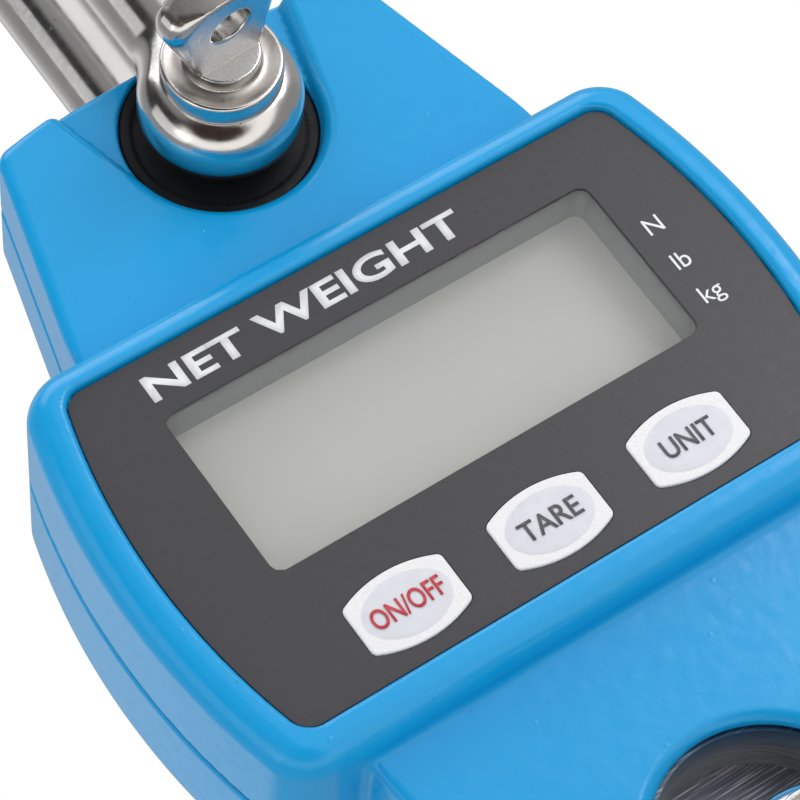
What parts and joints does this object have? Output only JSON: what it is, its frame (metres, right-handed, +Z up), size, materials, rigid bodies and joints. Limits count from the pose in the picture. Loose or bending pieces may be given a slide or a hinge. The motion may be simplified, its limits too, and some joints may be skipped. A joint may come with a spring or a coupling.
{
  "type": "crane scale",
  "caption": "Digital hanging crane scale: die-cast body with display and keys, load cell inside, screw-pin shackle above, shackle with latched hook below.",
  "frame": {"origin": "inside of the crown of the upper shackle, where the scale hangs", "axes": "+Z up along the load line, -Y out of the display face, +X to the viewer's right"},
  "size_m": [0.0964, 0.0625, 0.3535],
  "materials": {
    "chrome_plate": "polished nickel-chrome plate",
    "blue_paint": "glossy sky-blue powder coat",
    "cell_steel": "machined and brushed",
    "screw_steel": "zinc-plated",
    "black_bush": "black nylon",
    "black_seal": "matte",
    "label_film": "charcoal printed film",
    "clear_window": "clear polycarbonate",
    "grey_plastic": "mid-grey moulding",
    "lcd": "grey-green reflective display",
    "backlight": "milky diffuser",
    "key_silver": "pearl silver print",
    "board_green": "solder mask",
    "black_plastic": "moulded",
    "foil": "etched foil",
    "cable_grey": "PVC jacket",
    "lead_red": "PVC jacket",
    "lead_black": "PVC jacket",
    "cell_jacket": "plain printed jacket",
    "spring_steel": "nickel-plated wire and strip",
    "forged_steel": "zinc-plated forging",
    "latch_zinc": "zinc-plated sheet"
  },
  "bodies": {
    "shackle": {"shackle_bow": "chrome_plate", "shackle_pin": "chrome_plate"},
    "scale_body": {"front_housing": "blue_paint", "rear_housing": "blue_paint", "housing_gasket": "black_seal", "head_screws": "screw_steel", "neck_screws": "screw_steel", "load_cell": "cell_steel", "strain_gauges": "foil", "gauge_covers": "spring_steel", "gauge_cable": "cable_grey", "cell_screws": "screw_steel", "front_bush": "black_bush", "rear_bush": "black_bush", "label_panel": "label_film", "display_window": "clear_window", "display_bezel": "grey_plastic", "lcd_glass": "lcd", "lcd_backlight": "backlight", "lcd_connector": "black_plastic", "main_board": "board_green", "board_components": "black_plastic", "board_screws": "screw_steel", "key_switches": "black_plastic", "battery_tray": "black_plastic", "battery_contacts": "spring_steel", "battery_springs": "spring_steel", "battery_cells": "cell_jacket", "battery_lead_red": "lead_red", "battery_lead_black": "lead_black"},
    "on_off_key": {"key_on_off": "key_silver", "plunger_on_off": "black_plastic"},
    "tare_key": {"key_tare": "key_silver", "plunger_tare": "black_plastic"},
    "unit_key": {"key_unit": "key_silver", "plunger_unit": "black_plastic"},
    "battery_door": {"battery_door": "blue_paint"},
    "lower_shackle": {"lower_shackle_bow": "chrome_plate", "lower_shackle_pin": "chrome_plate"},
    "hook": {"hook": "forged_steel", "latch_pin": "screw_steel", "latch_spring": "spring_steel"},
    "safety_latch": {"safety_latch": "latch_zinc"}
  },
  "joints": [
    {"name": "scale_swing", "type": "hinge", "parent": "shackle", "child": "scale_body", "pos_m": [0, 0, -0.0595], "axis": [0, 1, 0], "range_deg": [-35, 35]},
    {"name": "on_off_press", "type": "slide", "parent": "scale_body", "child": "on_off_key", "axis": [0, 1, 0], "range_m": [0, 0.0005], "stiffness_N_per_m": 1200, "springref_m": -0.0004},
    {"name": "tare_press", "type": "slide", "parent": "scale_body", "child": "tare_key", "axis": [0, 1, 0], "range_m": [0, 0.0005], "stiffness_N_per_m": 1200, "springref_m": -0.0004},
    {"name": "unit_press", "type": "slide", "parent": "scale_body", "child": "unit_key", "axis": [0, 1, 0], "range_m": [0, 0.0005], "stiffness_N_per_m": 1200, "springref_m": -0.0004},
    {"name": "battery_door_slide", "type": "slide", "parent": "scale_body", "child": "battery_door", "axis": [0, 0, -1], "range_m": [0, 0.012]},
    {"name": "lower_shackle_swing", "type": "hinge", "parent": "scale_body", "child": "lower_shackle", "pos_m": [0, 0, -0.18372], "axis": [0, 1, 0], "range_deg": [-30, 30]},
    {"name": "hook_swing", "type": "hinge", "parent": "lower_shackle", "child": "hook", "pos_m": [0, 0, -0.24922], "axis": [0, 1, 0], "range_deg": [-60, 60]},
    {"name": "latch_swing", "type": "hinge", "parent": "hook", "child": "safety_latch", "pos_m": [0.0088, 0, -0.28296], "axis": [0, 1, 0], "range_deg": [0, 60], "stiffness_Nm_per_rad": 0.02, "springref_deg": -34.38}
  ]
}
